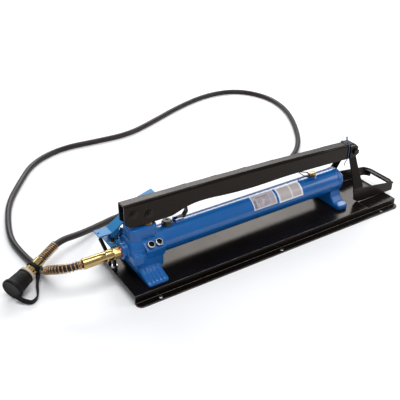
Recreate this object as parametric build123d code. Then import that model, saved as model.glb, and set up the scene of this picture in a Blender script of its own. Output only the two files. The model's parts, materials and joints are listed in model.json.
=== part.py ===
from build123d import *
import math
import os

# Foot-operated hydraulic pump: a steel base plate carries a cast head and a tube reservoir, and a
# channel lever with a stirrup pedal drives the piston. Millimetres, +Z up, +X from the hose end
# towards the pedal. The origin is the centre of the base plate on the floor.

# ---------------------------------------------------------------- driving dimensions
BASE_LENGTH = 680.0
BASE_WIDTH = 186.0
PLATE_WIDTH = 157.0
SHEET = 3.0
PLATE_TOP = 20.0
PAN_TOP = 17.0
PAN_START = 252.0
FIXING_R = 3.5
FIXING_X = 290.0
FIXING_Y = 86.0

TUBE_Z = 71.0
TUBE_R = 27.5
TUBE_WALL = 3.0
TUBE_START = -246.0
TUBE_END = 204.0
CAP_END = 223.0

HEAD_LEFT = -306.0
HEAD_RIGHT = -262.0
TOWER_TOP = 119.0
PIVOT = (-301.0, 150.0)
PISTON_X = -269.0
PISTON_R = 9.0
PIN_R = 5.0
RUNNING = 0.05
SLOT_CLEARANCE = 0.2
HALF_STROKE = 15.0

LEVER_HALF = 12.5
LEVER_WALL = 3.0
LEVER_LEFT = -320.0
LEVER_RIGHT = 262.0

PEDAL_HALF = 47.0
PEDAL_SHEET = 4.0
PEDAL_END = 362.0

OUTLET = (0.0, 71.0)
OUTLET_FACE = -328.5
ADAPTER_END = -345.0
FERRULE_END = -405.5
HOSE_R = 7.0

RELEASE_Y = (30.0, 56.0)
RELEASE_PIVOT = (-322.0, 88.0)
RELEASE_PIN_X = -298.0
BRACKET_FACE = -312.3
BRACKET_SCREW_Y = (35.0, 47.0)
BRACKET_SCREW_Z = 57.0
RELEASE_PIN_Y = 38.0

PLUG_TILT = 32.0
PLUG_X = (-278.0, -261.0)

COUPLER_CAP = Vector(-527.7, 59.0, 22.5)
COUPLER_DIR = Vector(117.6, 73.0, 17.5).normalized()
GUARD_END = 140.0


# ---------------------------------------------------------------- shape helpers
def rod_x(x0, x1, y, z, r):
    """A round bar along X."""
    return Pos((x0 + x1) / 2, y, z) * Rot(0, 90, 0) * Cylinder(r, x1 - x0)


def rod_y(y0, y1, x, z, r):
    """A round bar along Y."""
    return Pos(x, (y0 + y1) / 2, z) * Rot(90, 0, 0) * Cylinder(r, y1 - y0)


def rod_z(z0, z1, x, y, r):
    """A round bar along Z."""
    return Pos(x, y, (z0 + z1) / 2) * Cylinder(r, z1 - z0)


def along(start, direction, z_dir=None):
    """A location at start whose local Z points along direction."""
    return Plane(origin=start, z_dir=direction).location


def bar(start, direction, s0, s1, r):
    """A round bar from s0 to s1 along a direction."""
    return along(start, direction) * Pos(0, 0, (s0 + s1) / 2) * Cylinder(r, s1 - s0)


def taper(start, direction, s0, s1, r0, r1):
    """A cone frustum from s0 to s1 along a direction."""
    return along(start, direction) * Pos(0, 0, (s0 + s1) / 2) * Cone(r0, r1, s1 - s0)


def hexagon(start, direction, s0, s1, across_flats):
    """A hexagonal bar from s0 to s1 along a direction."""
    face = RegularPolygon(across_flats / 2, 6, major_radius=False)
    return along(start, direction) * Pos(0, 0, s0) * extrude(face, s1 - s0)


def block(x0, x1, y0, y1, z0, z1):
    """A box between two corners."""
    return Pos((x0 + x1) / 2, (y0 + y1) / 2, (z0 + z1) / 2) * Box(x1 - x0, y1 - y0, z1 - z0)


def slab_xz(outline, y0, y1):
    """An outline in X and Z, extruded from y0 to y1."""
    plane = Plane(origin=(0, y1, 0), x_dir=(1, 0, 0), z_dir=(0, -1, 0))
    return extrude(plane * make_face(outline), y1 - y0)


def slab_yz(outline, x0, x1):
    """An outline in Y and Z, extruded from x0 to x1."""
    plane = Plane(origin=(x0, 0, 0), x_dir=(0, 1, 0), z_dir=(1, 0, 0))
    return extrude(plane * make_face(outline), x1 - x0)


def closed(*points):
    """A closed outline through corner points."""
    return Polyline(*points, close=True)


def ring(start, direction, s0, s1, inner, outer):
    """A flat ring along a direction."""
    return bar(start, direction, s0, s1, outer) - bar(start, direction, s0 - 1, s1 + 1, inner)


def coil(start, direction, s0, s1, mean_r, wire_r, turns):
    """A helical spring with its coils between s0 and s1."""
    length = s1 - s0 - 2 * wire_r
    path = Helix(length / turns, length, mean_r)
    section = Plane(origin=path @ 0, z_dir=path % 0) * Circle(wire_r)
    spring = sweep(section, path=path, is_frenet=True)
    return along(start, direction) * Pos(0, 0, s0 + wire_r) * spring


def upright_edges(solid):
    """The edges of a solid that run along Z."""
    return solid.edges().filter_by(Axis.Z)


# ---------------------------------------------------------------- base
def hat_section(x0, x1, top):
    """A hat-shaped length of sheet: a top, two walls and two flanges."""
    outer, inner = BASE_WIDTH / 2, PLATE_WIDTH / 2
    outline = closed(
        (-outer, 0), (-outer, SHEET), (-inner, SHEET), (-inner, top), (inner, top), (inner, SHEET),
        (outer, SHEET), (outer, 0), (inner - SHEET, 0), (inner - SHEET, top - SHEET),
        (SHEET - inner, top - SHEET), (SHEET - inner, 0),
    )
    return slab_yz(outline, x0, x1)


def base_plate():
    """The pressed base: a low pan under the pedal and holes for floor bolts."""
    end = BASE_LENGTH / 2
    step_half = PLATE_WIDTH / 2 - 1
    plate = hat_section(-end, PAN_START, PLATE_TOP) + hat_section(PAN_START, end, PAN_TOP)
    plate += block(PAN_START - SHEET, PAN_START, -step_half, step_half, PAN_TOP - SHEET, PLATE_TOP)
    corners = [e for e in upright_edges(plate)
               if abs(e.center().X) > end - 1 and abs(e.center().Y) > BASE_WIDTH / 2 - 1]
    plate = fillet(corners, 12)
    for x in (-FIXING_X, 0, FIXING_X):
        for y in (-FIXING_Y, FIXING_Y):
            plate -= rod_z(-1, SHEET + 1, x, y, FIXING_R)
    for x in HEAD_BOLT_X:
        for y in (-HEAD_BOLT_Y, HEAD_BOLT_Y):
            plate -= rod_z(0, PLATE_TOP + 1, x, y, 4.2)
    for y in (-REAR_BOLT_Y, REAR_BOLT_Y):
        plate -= rod_z(0, PLATE_TOP + 1, REAR_BOLT_X, y, 4.2)
    plate -= rod_z(0, PLATE_TOP + 1, *STUD, 4.2)
    plate -= rod_z(0, PLATE_TOP + 1, *ANCHOR, 3.0)
    return plate


HEAD_BOLT_X = (-297.0, -271.0)
HEAD_BOLT_Y = 56.0
REAR_BOLT_X = 205.0
REAR_BOLT_Y = 46.0
STUD = (-332.0, 23.5)
ANCHOR = (-334.0, 42.0)


def hex_bolt(x, y, length):
    """A bolt from below the plate, with its head against the plate's underside."""
    under = PLATE_TOP - SHEET
    head = hexagon((x, y, 0), (0, 0, 1), under - 5.3, under, 13)
    return head + rod_z(under, under + length, x, y, 4.0)


def head_bolts():
    return [hex_bolt(x, y, 11) for x in HEAD_BOLT_X for y in (-HEAD_BOLT_Y, HEAD_BOLT_Y)]


def rear_bolts():
    return [hex_bolt(REAR_BOLT_X, y, 12) for y in (-REAR_BOLT_Y, REAR_BOLT_Y)]


# ---------------------------------------------------------------- head
def plug_place(x):
    """The centre of a valve plug's face and its outward direction."""
    tilt = math.radians(PLUG_TILT)
    return Vector(x, -31.0, 84.8), Vector(0, -math.sin(tilt), math.cos(tilt))


def head_foot():
    """The splayed foot under the head, with ribs on both slopes."""
    outline = closed(
        (-71, PLATE_TOP), (-71, 26), (-44, 33.5), (-33, 38), (-28, 52), (28, 52), (33, 38), (44, 33.5),
        (71, 26), (71, PLATE_TOP),
    )
    foot = slab_yz(outline, HEAD_LEFT, HEAD_RIGHT)
    tips = [e for e in upright_edges(foot) if abs(e.center().Y) > 60]
    foot = fillet(tips, 5)
    for side in (-1, 1):
        rib = closed((side * 66, 25), (side * 66, 28.6), (side * 43, 35.6), (side * 35, 40), (side * 35, 30))
        for i in range(5):
            x = HEAD_LEFT + 4 + i * 8
            foot += slab_yz(rib, x, x + 3.2)
    return foot


def pump_head():
    """The cast head: body, tower, feet, valve boss, outlet boss and fulcrum lug."""
    body = rod_x(-316, TUBE_START, 0, TUBE_Z, 29.5)
    body = fillet(body.edges().filter_by(GeomType.CIRCLE).sort_by(Axis.X)[0], 6)
    lower = block(HEAD_LEFT - 6, HEAD_RIGHT + 12, -34, 34, 33, TUBE_Z)
    lower = fillet(upright_edges(lower), 9)
    tower = block(-314, -254, -20, 20, 66, TOWER_TOP)
    tower = fillet(upright_edges(tower), 12)
    tower = fillet(tower.edges().group_by(Axis.Z)[-1], 3)
    shoulder = block(-318, -293, -38, -4, 52, 74)
    shoulder = fillet(shoulder.edges().group_by(Axis.Z)[-1] + upright_edges(shoulder), 5)
    wedge = slab_yz(closed((-14, 95.4), (-40, 79.1), (-33.5, 56), (-14, 56)), -290, -249)
    wedge = fillet(wedge.edges().filter_by(Axis.X).group_by(Axis.Y)[0], 2.5)
    outlet_boss = rod_x(OUTLET_FACE, -298, *OUTLET, 17)
    outlet_boss = fillet(outlet_boss.edges().filter_by(GeomType.CIRCLE).sort_by(Axis.X)[0], 3)
    release_boss = rod_z(48, 92, RELEASE_PIN_X, RELEASE_PIN_Y, 12.5)
    release_web = block(-308, -288, 15, RELEASE_PIN_Y, 48, 84)
    bracket_pad = block(BRACKET_FACE, -300, 31, 51, 51, 72)
    lug = rod_y(-9.3, 9.3, *PIVOT, 12)
    lug += block(PIVOT[0] - 12, PIVOT[0] + 12, -9.3, 9.3, TOWER_TOP - 4, PIVOT[1])
    head = body + lower + tower + shoulder + wedge + outlet_boss + release_boss + release_web
    head += bracket_pad
    head += lug + head_foot()
    head += rod_x(TUBE_START, TUBE_START + 12, 0, TUBE_Z, TUBE_R - TUBE_WALL - 0.3)
    return head - head_cavities()


def drilled(a, b, r):
    """A drilled passage between two points."""
    way = Vector(*b) - Vector(*a)
    return bar(Vector(*a), way, 0, way.length, r)


def head_cavities():
    """Every bore and drilled passage in the head."""
    holes = rod_y(-20, 20, *PIVOT, PIN_R + RUNNING)
    holes += rod_z(80, TOWER_TOP + 1, PISTON_X, 0, PISTON_R + RUNNING)
    holes += rod_z(103, TOWER_TOP + 1, PISTON_X, 0, 14)
    holes += rod_z(47, 81, PISTON_X, 0, 3)
    holes += rod_z(60, 72, PISTON_X, 0, 5.5)
    holes += rod_x(PISTON_X, TUBE_START + 13, 0, 50.5, 2.4)
    holes += rod_x(OUTLET_FACE - 1, -310, *OUTLET, 8)
    holes += rod_x(-311, -284, *OUTLET, 3)
    holes += drilled((-285, 0, 71), (-278, -20.4, 67.8), 2)
    holes += drilled((-276.5, -6, 50), (-276.5, -6, 82), 2)
    holes += drilled((-276.5, -6, 50), (-261, -9.8, 50.9), 2)
    holes += drilled((-261, -20.4, 67.8), (TUBE_START + 13, -20.4, 67.8), 2)
    for x in PLUG_X:
        face, out = plug_place(x)
        holes += bar(face, out, -14, 1, 6.5)
        holes += bar(face, out, -26, -13, 5.5)
        holes += bar(face, out, -40, -25, 2.5)
    holes += rod_z(60, 93, RELEASE_PIN_X, RELEASE_PIN_Y, 8)
    holes += rod_z(54, 61, RELEASE_PIN_X, RELEASE_PIN_Y, 3)
    holes += drilled((RELEASE_PIN_X, RELEASE_PIN_Y, 56), (-286, 2, 70), 2)
    holes += rod_x(-262, TUBE_START + 13, 0, TUBE_Z, 5)
    for y in BRACKET_SCREW_Y:
        holes += rod_x(BRACKET_FACE - 1, BRACKET_FACE + 10, y, BRACKET_SCREW_Z, 2.5)
    for x in HEAD_BOLT_X:
        for y in (-HEAD_BOLT_Y, HEAD_BOLT_Y):
            holes += rod_z(PLATE_TOP - 1, PLATE_TOP + 8.2, x, y, 4.0)
    return holes


def gland_nut():
    """The brass gland that guides the piston at the tower's top."""
    nut = rod_z(111, TOWER_TOP, PISTON_X, 0, 14)
    nut += rod_z(TOWER_TOP, TOWER_TOP + 2.5, PISTON_X, 0, 12)
    return nut - rod_z(100, 130, PISTON_X, 0, PISTON_R + RUNNING)


def piston_seal():
    return ring((PISTON_X, 0, 0), (0, 0, 1), 103, 111, PISTON_R + RUNNING, 14)


def piston_pin_height():
    """The height of the piston's pin with the lever down."""
    reach = PISTON_X - PIVOT[0]
    return PIVOT[1] - reach * math.tan(math.radians(HALF_STROKE))


def piston():
    """The piston, with a flat eye on top for its pin."""
    top = piston_pin_height()
    body = rod_z(82, top - 3, PISTON_X, 0, PISTON_R)
    eye = rod_y(-6, 6, PISTON_X, top, 8.5)
    eye += block(PISTON_X - 8.5, PISTON_X + 8.5, -6, 6, top - 11, top)
    eye &= rod_z(top - 20, top + 10, PISTON_X, 0, PISTON_R)
    cutter = block(PISTON_X - 12, PISTON_X + 12, 6, 12, top - 11, top + 12)
    cutter += block(PISTON_X - 12, PISTON_X + 12, -12, -6, top - 11, top + 12)
    body = body - cutter + eye
    return body - rod_y(-12, 12, PISTON_X, top, PIN_R)


def cross_pin(x, z, r):
    """A headless pin across the lever, grooved for a clip at each end."""
    return rod_y(-LEVER_HALF - 3.5, LEVER_HALF + 3.5, x, z, r)


def pin_clips(x, z, gap):
    """Two retaining clips on a cross pin, just outside the lever's walls."""
    clips = []
    for side in (-1, 1):
        start = side * (LEVER_HALF + gap)
        low, high = sorted((start, start + side * 1.5))
        clip = rod_y(low, high, x, z, PIN_R + 3.5) - rod_y(low - 1, high + 1, x, z, PIN_R)
        clips.append(clip)
    return clips


def valve_plugs():
    """Two hollow-hexagon plugs that close the valve chambers."""
    plugs = []
    for x in PLUG_X:
        face, out = plug_place(x)
        plug = bar(face, out, -9, 0, 6.5) + bar(face, out, 0, 7, 7.6)
        plug -= hexagon(face, out, 2, 8, 6.5)
        plugs.append(plug)
    return plugs


def valve_ball(index):
    """The ball that closes one valve chamber."""
    face, out = plug_place(PLUG_X[index])
    return along(face, out) * Pos(0, 0, -22.0) * Sphere(4.0)


def valve_spring(index):
    face, out = plug_place(PLUG_X[index])
    return coil(face, out, -17.9, -9.1, 3.6, 0.6, 4)


def suction_ball():
    return Pos(PISTON_X, 0, 64.5) * Sphere(4.0)


# ---------------------------------------------------------------- reservoir
def reservoir_tube():
    """The oil tube, with holes under the filler and the vent."""
    tube = rod_x(TUBE_START, TUBE_END, 0, TUBE_Z, TUBE_R)
    tube -= rod_x(TUBE_START - 1, TUBE_END + 1, 0, TUBE_Z, TUBE_R - TUBE_WALL)
    for x in (FILLER_X, VENT_X):
        tube -= rod_z(TUBE_Z + 15, TUBE_Z + 40, x, 0, 7)
    return tube


FILLER_X = 145.0
VENT_X = -225.0
LATCH_X = -200.0


def rear_cap():
    """The rear cap with its saddle foot."""
    cap = rod_x(TUBE_END, CAP_END, 0, TUBE_Z, TUBE_R + 0.5)
    cap = fillet(cap.edges().filter_by(GeomType.CIRCLE).sort_by(Axis.X)[-1], 13)
    cap += rod_x(TUBE_END - 12, TUBE_END, 0, TUBE_Z, TUBE_R - TUBE_WALL - 0.3)
    outline = closed(
        (-55, PLATE_TOP), (-55, 30.4), (-36, 31.6), (-26, 42), (-18, 66), (18, 66), (26, 42), (36, 31.6),
        (55, 30.4), (55, PLATE_TOP),
    )
    foot = slab_yz(outline, 185, 214)
    tips = [e for e in upright_edges(foot) if abs(e.center().Y) > 50]
    foot = fillet(tips, 9)
    foot -= rod_x(180, TUBE_END, 0, TUBE_Z, TUBE_R)
    foot -= rod_x(TUBE_END, 230, 0, TUBE_Z, TUBE_R - 6)
    foot -= block(214, 230, -30, 30, 60, 80)
    cap += foot
    cap -= rod_x(180, 230, 0, TUBE_Z, 5)
    for y in (-REAR_BOLT_Y, REAR_BOLT_Y):
        cap -= rod_z(PLATE_TOP - 1, PLATE_TOP + 9.2, REAR_BOLT_X, y, 4.0)
    return cap


def tie_rod():
    return rod_x(-261.5, 238, 0, TUBE_Z, 5)


def tie_rod_nut():
    nut = hexagon((0, 0, TUBE_Z), (1, 0, 0), CAP_END, CAP_END + 10, 17)
    return nut - rod_x(CAP_END - 1, CAP_END + 11, 0, TUBE_Z, 5)


def tube_seal(x):
    """A sealing ring in the gap between a spigot and the tube."""
    inner = TUBE_R - TUBE_WALL - 0.3
    return ring((x, 0, TUBE_Z), (1, 0, 0), -1.5, 1.5, inner, TUBE_R - TUBE_WALL)


def suction_tube():
    tube = rod_x(TUBE_START + 12, -150, 0, 56, 4)
    return tube - rod_x(TUBE_START + 11, -149, 0, 56, 2.6)


def suction_strainer():
    body = rod_x(-150, -122, 0, 56, 8)
    return body - rod_x(-151, -125, 0, 56, 6.5) + ring((-150, 0, 56), (1, 0, 0), 0, 2, 2.6, 7)


def filler_boss():
    """The welded boss that the filler plug screws into."""
    boss = rod_z(TUBE_Z + TUBE_R - 3, TUBE_Z + TUBE_R + 2, FILLER_X, 0, 11)
    boss -= rod_x(FILLER_X - 20, FILLER_X + 20, 0, TUBE_Z, TUBE_R)
    return boss - rod_z(90, 110, FILLER_X, 0, 6.5)


def filler_plug():
    """The brass filler plug with its knurled knob."""
    top = TUBE_Z + TUBE_R + 2
    plug = rod_z(top - 10, top, FILLER_X, 0, 6.3)
    plug += rod_z(top, top + 6, FILLER_X, 0, 9)
    plug = fillet(plug.edges().group_by(Axis.Z)[-1], 1.5)
    return plug


def filler_bail():
    """The wire bail that hangs over the filler plug."""
    z = TUBE_Z + TUBE_R + 1.2
    wire = 1.1
    points = [
        (FILLER_X - 2, 11.5, z), (FILLER_X - 2, 13.6, z + 1), (FILLER_X - 24, 13.6, z + 8),
        (FILLER_X - 30, 9, z + 9.8), (FILLER_X - 30, -9, z + 9.8), (FILLER_X - 24, -13.6, z + 8),
        (FILLER_X - 2, -13.6, z + 1), (FILLER_X - 2, -11.5, z),
    ]
    path = FilletPolyline(*points, radius=[0.5, 0.6, 3.5, 3.5, 0.6, 0.5])
    return sweep(Plane(origin=path @ 0, z_dir=path % 0) * Circle(wire), path=path)


def vent_plug():
    """The low black vent plug behind the head."""
    top = TUBE_Z + TUBE_R
    plug = rod_z(top - 8, top + 1, VENT_X, 0, 6.8)
    cap = rod_z(top - 4, top + 5, VENT_X, 0, 11.5) - rod_x(VENT_X - 20, VENT_X + 20, 0, TUBE_Z, TUBE_R)
    cap += rod_z(top + 5, top + 9, VENT_X, 0, 9.5)
    return fillet((plug + cap).edges().group_by(Axis.Z)[-1], 1.5)


def latch_block():
    """The small saddle that carries the storage catch."""
    top = TUBE_Z + TUBE_R
    saddle = block(LATCH_X - 9, LATCH_X + 9, -8, 8, top - 3, top + 7)
    saddle -= rod_x(LATCH_X - 20, LATCH_X + 20, 0, TUBE_Z, TUBE_R)
    saddle -= block(LATCH_X - 10, LATCH_X + 10, -4.3, 4.3, top + 0.5, top + 8)
    saddle -= rod_y(-9, 9, LATCH_X, top + 4, 1.6)
    return saddle


def latch_pin():
    return rod_y(-8, 8, LATCH_X, TUBE_Z + TUBE_R + 4, 1.6)


def storage_latch():
    """The curved catch that swings up under the lever."""
    z = TUBE_Z + TUBE_R + 4
    hook = rod_y(-4, 4, LATCH_X, z, 3)
    path = FilletPolyline((LATCH_X, z), (LATCH_X + 12, z + 3), (LATCH_X + 19, z + 12),
                          (LATCH_X + 17, z + 23), radius=5)
    band = slab_xz(trace_outline(path, 2.4), -4, 4)
    hook += band
    return hook - rod_y(-9, 9, LATCH_X, z, 1.6 + RUNNING)


def trace_outline(path, half):
    """The outline of a band of constant width along a flat path."""
    return offset(path, half, side=Side.BOTH, kind=Kind.ARC)


# ---------------------------------------------------------------- lever and pedal
def lever_top():
    return ThreePointArc((LEVER_LEFT, 173.5), (-30, 166.4), (LEVER_RIGHT, 152.6))


def lever_outline():
    """The side outline of the lever: deep over the head, slim along the arm."""
    top = lever_top()
    end = Polyline((LEVER_RIGHT, 152.6), (LEVER_RIGHT, 122), (LEVER_RIGHT - 4, 118.5), (170, 122.8))
    belly = Spline((170, 122.8), (60, 126.6), (-30, 126.2), (-100, 130.6), (-160, 134.6),
                   (-196, 129), (-222, 121.6), tangents=[(-1, 0.035), (-1, -0.12)])
    heel = Polyline((-222, 121.6), (-300, 122.4), (-311, 125.5), (LEVER_LEFT, 134), (LEVER_LEFT, 173.5))
    return top + end + belly + heel


def lever_end_corner():
    """What the rounded upper corner at the lever's pedal end leaves away."""
    x, z = LEVER_RIGHT - 9, 143.6
    return block(x, LEVER_RIGHT + 1, -20, 20, z, 160) - rod_y(-21, 21, x, z, 9)


def lever_slot():
    """The hole for the piston's pin, a little long towards the pivot."""
    reach = PISTON_X - PIVOT[0]
    near = reach - 0.4
    far = reach / math.cos(math.radians(HALF_STROKE)) + 0.4
    slot_r = PIN_R + SLOT_CLEARANCE
    angle = math.radians(-HALF_STROKE)
    hole = Part()
    for distance in (near, (near + far) / 2, far):
        x = PIVOT[0] + distance * math.cos(angle)
        z = PIVOT[1] + distance * math.sin(angle)
        hole += rod_y(-20, 20, x, z, slot_r)
    return hole


def lever_channel():
    """The folded channel lever, open below and at its left end."""
    lever = slab_xz(lever_outline(), -LEVER_HALF, LEVER_HALF)
    top_edges = [e for e in lever.edges() if e.length > 500 and abs(e.center().Y) > LEVER_HALF - 1]
    lever = fillet(top_edges, 5)
    lever -= lever_end_corner()
    roof = lever_top().moved(Location((0, -LEVER_WALL)))
    inside = roof + Polyline((LEVER_RIGHT, 152.6 - LEVER_WALL), (LEVER_RIGHT, 100), (LEVER_LEFT, 100),
                             (LEVER_LEFT, 173.5 - LEVER_WALL))
    lever -= slab_xz(inside, LEVER_WALL - LEVER_HALF, LEVER_HALF - LEVER_WALL)
    lever -= rod_y(-20, 20, *PIVOT, PIN_R)
    lever -= lever_slot()
    return lever - rod_y(-20, 20, *PEDAL_BOLT, 4.0)


PEDAL_BOLT = (254.0, 136.0)


def pedal_side(side):
    """One arm and side wall of the stirrup."""
    top_in, low_out = LEVER_HALF, PEDAL_HALF
    sheet = PEDAL_SHEET
    outer = [(top_in + sheet, 153), (top_in + sheet, 122), (low_out, 58), (low_out, 16)]
    inner = [(low_out - sheet, 16), (low_out - sheet, 59), (top_in, 123.2), (top_in, 153)]
    bent = slab_yz(closed(*[(side * y, z) for y, z in outer + inner]), 225, PEDAL_END)
    arm = closed((240, 151), (256, 151), (262, 146), (262, 139), (258.5, 126), (259, 98), (262, 53),
                 (PEDAL_END, 38.5), (PEDAL_END, 18.5), (264, 19.4), (248, 22), (240, 28), (234, 60),
                 (238, 97), (240, 130))
    return bent & slab_xz(arm, -60, 60)


def pedal_frame():
    """The stirrup pedal: two splayed arms, side walls and a toothed end wall."""
    frame = pedal_side(-1) + pedal_side(1)
    outline = closed((PEDAL_END - 30, 42.6), (PEDAL_END + 8, 37.7), (PEDAL_END + 8, 18.5),
                     (PEDAL_END - 30, 18.8))
    nose = slab_xz(outline, -PEDAL_HALF, PEDAL_HALF)
    corners = [e for e in upright_edges(nose) if e.center().X > PEDAL_END]
    nose = fillet(corners, 20)
    hollow = block(PEDAL_END - 60, PEDAL_END + 4, PEDAL_SHEET - PEDAL_HALF, PEDAL_HALF - PEDAL_SHEET, 0, 90)
    rounded = [e for e in upright_edges(hollow) if e.center().X > PEDAL_END]
    nose -= fillet(rounded, 16)
    frame += nose
    frame -= block(PEDAL_END - 2, PEDAL_END + 12, -30, 30, 10, 26.5)
    tread = block(PEDAL_END - 6, PEDAL_END + 5, 2 - PEDAL_HALF, PEDAL_HALF - 2, 34, 37)
    for i in range(-6, 7):
        tread -= teeth_gap(i * 6.4)
    frame += tread
    return frame - rod_y(-20, 20, *PEDAL_BOLT, 4.0)


def teeth_gap(y):
    """One V notch in the inner edge of the pedal's toothed tread."""
    return Pos(PEDAL_END - 6, y, 35.5) * Rotation(0, 0, 45) * Box(4.4, 4.4, 8)


def pedal_bolts():
    """The through bolt and nut that hold the stirrup on the lever."""
    reach = LEVER_HALF + PEDAL_SHEET
    x, z = PEDAL_BOLT
    bolt = rod_y(-reach, reach + 7, x, z, 4.0)
    bolt += hexagon((x, -reach, z), (0, -1, 0), 0, 5.3, 13)
    nut = hexagon((x, reach, z), (0, 1, 0), 0, 6.5, 13) - rod_y(0, 40, x, z, 4.0)
    return [bolt, nut]


def lever_tie():
    """The wire tie round the lever, with a twisted loop on top."""
    x, z_top, z_low = 236.0, 155.6, 117.5
    y = LEVER_HALF + 1.4
    loop = FilletPolyline((x, y, z_top), (x, y, z_low), (x, -y, z_low), (x, -y, z_top), close=True,
                          radius=1.4)
    tie = sweep(Plane(origin=loop @ 0, z_dir=loop % 0) * Circle(1.0), path=loop)
    ear = FilletPolyline((x, -6, z_top), (x - 1, -4, z_top + 14), (x + 4, 0, z_top + 17),
                         (x + 3, 4, z_top + 12), (x, 6, z_top), radius=2)
    tie += sweep(Plane(origin=ear @ 0, z_dir=ear % 0) * Circle(1.0), path=ear)
    tail = FilletPolyline((x, -6, z_low), (x - 2, -7, z_low - 8), (x, -8, z_low - 17), radius=4)
    tie += sweep(Plane(origin=tail @ 0, z_dir=tail % 0) * Circle(1.0), path=tail)
    return tie


# ---------------------------------------------------------------- release pedal
def release_pedal():
    """The bent release strip: a spring tab, a rising arm and a foot pad."""
    t = 3.0
    upper = [(-356, 97), (-329, 97), (-257, 143.7), (-228, 152)]
    lower = [(-227.2, 149.1), (-256.1, 140.8), (-328.2, 94), (-356, 94)]
    strip = slab_xz(closed(*upper, *lower), *RELEASE_Y)
    x, z = RELEASE_PIVOT
    ears = Part()
    for y in (RELEASE_Y[0] + 0.5, RELEASE_Y[1] - 3.5):
        ear = slab_xz(closed((x - 8, 97), (x + 8, 107), (x + 8, z), (x - 8, z)), y, y + t)
        ears += ear + rod_y(y, y + t, x, z, 8)
    strip += ears - slab_xz(closed(*upper, (-200, 200), (-380, 200)), 0, 80)
    strip -= rod_y(0, 80, x, z, 4.0)
    strip -= rod_z(80, 110, -352, sum(RELEASE_Y) / 2, 2.2)
    return strip


def release_bracket():
    """The bracket that carries the release pedal's pivot."""
    x, z = RELEASE_PIVOT
    y0, y1 = RELEASE_Y[0] + 4.0, RELEASE_Y[1] - 4.0
    bracket = block(-341, -329.2, 13, y1, 76, 79) + block(-329.2, -316.6, 18, y1, 76, 79)
    bracket += block(-317, BRACKET_FACE, 30.6, y1, 76, 79)
    bracket += block(BRACKET_FACE - 3, BRACKET_FACE, 30.6, y1, 52, 79)
    for y in (y0, y1 - 3):
        bracket += block(x - 7, x + 7, y, y + 3, 78, z) + rod_y(y, y + 3, x, z, 7)
    for y in BRACKET_SCREW_Y:
        bracket -= rod_x(BRACKET_FACE - 4, BRACKET_FACE + 1, y, BRACKET_SCREW_Z, 2.5)
    bracket -= rod_y(0, 80, x, z, 4.0 + RUNNING)
    return bracket - rod_z(60, 90, *STUD, 4.0)


def bracket_screws():
    """The two hexagon screws that hold the bracket on the head."""
    screws = []
    for y in BRACKET_SCREW_Y:
        start = (BRACKET_FACE - 3, y, BRACKET_SCREW_Z)
        shank = rod_x(BRACKET_FACE - 3, BRACKET_FACE + 9.8, y, BRACKET_SCREW_Z, 2.5)
        screws.append(hexagon(start, (-1, 0, 0), 0, 3.5, 8) + shank)
    return screws


def release_pivot_pin():
    return rod_y(RELEASE_Y[0] - 2, RELEASE_Y[1] + 2, *RELEASE_PIVOT, 4.0)


def bracket_stud():
    """The stud that stands on the plate and holds the bracket's free end."""
    return rod_z(12, 88, *STUD, 4.0)


def bracket_nuts():
    """Nuts under the plate, on the plate and on both sides of the bracket."""
    nuts = []
    for z0, z1 in ((11.0, 17.0), (PLATE_TOP, 26.0), (70.0, 76.0), (79.0, 84.0)):
        nuts.append(hexagon((*STUD, 0), (0, 0, 1), z0, z1, 11) - rod_z(z0 - 1, z1 + 1, *STUD, 4.0))
    return nuts


def spring_anchor():
    """The eye bolt at the plate's edge that holds the return spring."""
    post = rod_z(14, 26, *ANCHOR, 3.0)
    post += hexagon((*ANCHOR, 0), (0, 0, 1), 13, 17, 10)
    eye = Pos(*ANCHOR, 30.5) * Rot(90, 0, 0) * Torus(4.5, 1.6)
    return post + eye


def release_spring():
    """The return spring as a plain sleeve of coils between its two hooks."""
    y = sum(RELEASE_Y) / 2
    top = Vector(-352, y, 90.5)
    foot = Vector(ANCHOR[0], ANCHOR[1], 37.5)
    direction = (top - foot).normalized()
    length = (top - foot).length
    return ring(foot, direction, 0, length, 3.0, 4.6)


def release_valve():
    """The threaded valve body in the head's rear boss."""
    body = rod_z(61, 92, RELEASE_PIN_X, RELEASE_PIN_Y, 8)
    body += hexagon((RELEASE_PIN_X, RELEASE_PIN_Y, 0), (0, 0, 1), 92, 99, 19)
    return body - rod_z(60, 110, RELEASE_PIN_X, RELEASE_PIN_Y, 4.0 + RUNNING)


def release_pin():
    """The push pin under the release pedal, with a rounded top."""
    pin = rod_z(70, 107, RELEASE_PIN_X, RELEASE_PIN_Y, 4.0)
    return pin + Pos(RELEASE_PIN_X, RELEASE_PIN_Y, 107) * Sphere(4.0)


# ---------------------------------------------------------------- hose and coupler
def outlet_adapter():
    """The brass hexagon adapter in the outlet."""
    start, way = (OUTLET_FACE, *OUTLET), (-1, 0, 0)
    end = OUTLET_FACE - ADAPTER_END
    body = hexagon(start, way, 1.6, end, 22) + bar(start, way, -18, 1.6, 8)
    return body - bar(start, way, -19, end + 1, 3)


def outlet_washer():
    return ring((OUTLET_FACE, *OUTLET), (-1, 0, 0), 0, 1.6, 8, 12)


def hose_ferrule():
    """The crimped brass ferrule at the pump's end of the hose."""
    start, way = (ADAPTER_END, *OUTLET), (-1, 0, 0)
    length = ADAPTER_END - FERRULE_END
    body = bar(start, way, 0, length, 10.5) + bar(start, way, 4, 12, 11.2)
    return body - bar(start, way, length - 16, length + 1, HOSE_R) - bar(start, way, -1, length - 15, 3)


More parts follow.
